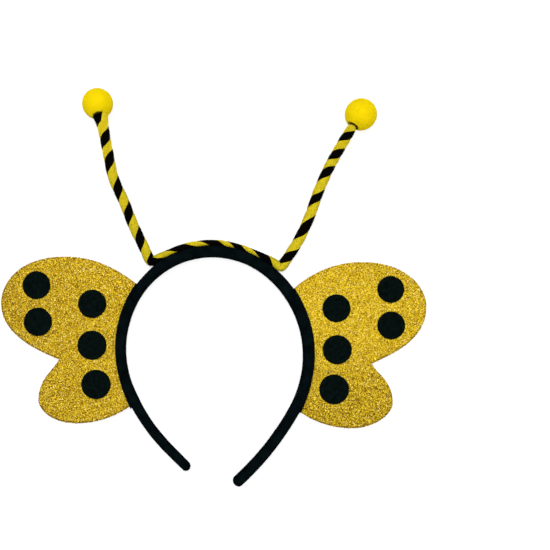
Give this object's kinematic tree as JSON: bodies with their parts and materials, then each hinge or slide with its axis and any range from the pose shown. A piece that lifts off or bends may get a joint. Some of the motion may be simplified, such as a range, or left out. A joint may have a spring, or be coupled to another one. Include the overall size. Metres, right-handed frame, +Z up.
{
  "type": "animal costume headband",
  "caption": "Padded hoop headband with flat glitter-foam wings, felt spots, and twisted striped antennae that end in pompoms.",
  "frame": {"origin": "on the surface the headband lies on, under the middle of its box", "axes": "+Z up off that surface, along the hoop's axis; +Y from the hoop's open ends towards the antennae; +X towards the right wing as it lies"},
  "size_m": [0.2985, 0.2773, 0.0215],
  "materials": {
    "black_velvet": "short black nap over a padded hoop",
    "black_felt": "pressed craft felt",
    "glitter_foam": "soft foam sheet faced with gold glitter",
    "black_chenille": "tufted wire, black",
    "yellow_chenille": "tufted wire, yellow",
    "yellow_pompom": "dense clipped pompom"
  },
  "bodies": {
    "root": {"hoop": "black_velvet", "strip_left": "black_felt", "strip_right": "black_felt", "wing_left": "glitter_foam", "wing_right": "glitter_foam", "spot_left_1": "black_felt", "spot_left_2": "black_felt", "spot_left_3": "black_felt", "spot_left_4": "black_felt", "spot_left_5": "black_felt", "spot_right_1": "black_felt", "spot_right_2": "black_felt", "spot_right_3": "black_felt", "spot_right_4": "black_felt", "spot_right_5": "black_felt", "stem_black": "black_chenille", "stem_yellow": "yellow_chenille", "pompom_left": "yellow_pompom", "pompom_right": "yellow_pompom"}
  },
  "joints": []
}
